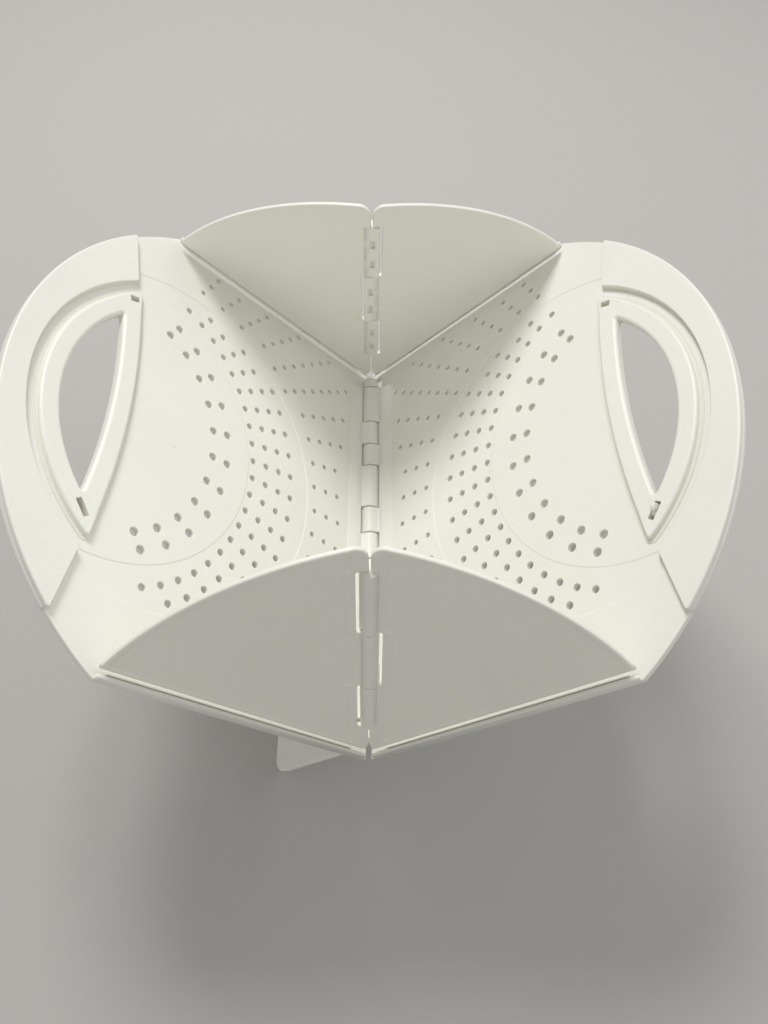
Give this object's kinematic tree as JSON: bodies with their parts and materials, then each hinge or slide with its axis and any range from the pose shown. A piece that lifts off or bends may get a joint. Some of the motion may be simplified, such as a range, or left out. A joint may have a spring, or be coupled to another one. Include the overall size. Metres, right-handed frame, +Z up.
{
  "type": "folding strainer basket",
  "caption": "Folding strainer basket with two perforated shells on a keel hinge, hinged gusset end panels, finger-hole handles and crossed feet.",
  "frame": {"origin": "on the floor under the middle of the keel hinge, basket standing open", "axes": "+X to the right across the keel, +Y to the rear along the keel, +Z up"},
  "size_m": [0.311, 0.2556, 0.2152],
  "materials": {
    "shell_plastic": "satin off-white polypropylene",
    "handle_plastic": "satin off-white polypropylene",
    "gusset_plastic": "satin off-white polypropylene, slightly translucent",
    "web_plastic": "polished thin polypropylene hinge web",
    "pin_steel": "plain steel wire"
  },
  "bodies": {
    "left_shell": {"left_strainer_panel": "shell_plastic", "left_hinge_leaf": "shell_plastic", "left_foot": "shell_plastic", "left_handle": "handle_plastic", "front_left_hinge_web": "web_plastic", "rear_left_hinge_web": "web_plastic", "keel_pin": "pin_steel"},
    "right_shell": {"right_strainer_panel": "shell_plastic", "right_hinge_leaf": "shell_plastic", "right_foot": "shell_plastic", "right_handle": "handle_plastic", "front_right_hinge_web": "web_plastic", "rear_right_hinge_web": "web_plastic", "latch_hook": "handle_plastic"},
    "front_left_gusset": {"front_left_gusset": "gusset_plastic"},
    "rear_left_gusset": {"rear_left_gusset": "gusset_plastic", "rear_crease_pin": "pin_steel"},
    "front_right_gusset": {"front_right_gusset": "gusset_plastic", "front_crease_pin": "pin_steel"},
    "rear_right_gusset": {"rear_right_gusset": "gusset_plastic"}
  },
  "joints": [
    {"name": "shell_fold", "type": "hinge", "parent": "left_shell", "child": "right_shell", "pos_m": [0, 0, 0.059], "axis": [0, -1, 0], "range_deg": [0, 88]},
    {"name": "front_left_gusset_fold", "type": "hinge", "parent": "left_shell", "child": "front_left_gusset", "pos_m": [0, -0.125, 0.059], "axis": [-0.6947, 0, 0.7193], "range_deg": [0, 74.96], "deforming": ["front_left_gusset"]},
    {"name": "front_right_gusset_fold", "type": "hinge", "parent": "right_shell", "child": "front_right_gusset", "pos_m": [0, -0.125, 0.059], "axis": [-0.6947, 0, -0.7193], "range_deg": [0, 74.96]},
    {"name": "rear_left_gusset_fold", "type": "hinge", "parent": "left_shell", "child": "rear_left_gusset", "pos_m": [0, 0.125, 0.059], "axis": [0.6947, 0, -0.7193], "range_deg": [0, 74.96]},
    {"name": "rear_right_gusset_fold", "type": "hinge", "parent": "right_shell", "child": "rear_right_gusset", "pos_m": [0, 0.125, 0.059], "axis": [0.6947, 0, 0.7193], "range_deg": [0, 74.96], "deforming": ["rear_right_gusset"]}
  ],
  "couplings": [
    {"joint": "front_left_gusset_fold", "follows": "shell_fold", "ratio": 0.85168},
    {"joint": "front_right_gusset_fold", "follows": "shell_fold", "ratio": 0.85168},
    {"joint": "rear_left_gusset_fold", "follows": "shell_fold", "ratio": 0.85168},
    {"joint": "rear_right_gusset_fold", "follows": "shell_fold", "ratio": 0.85168}
  ]
}
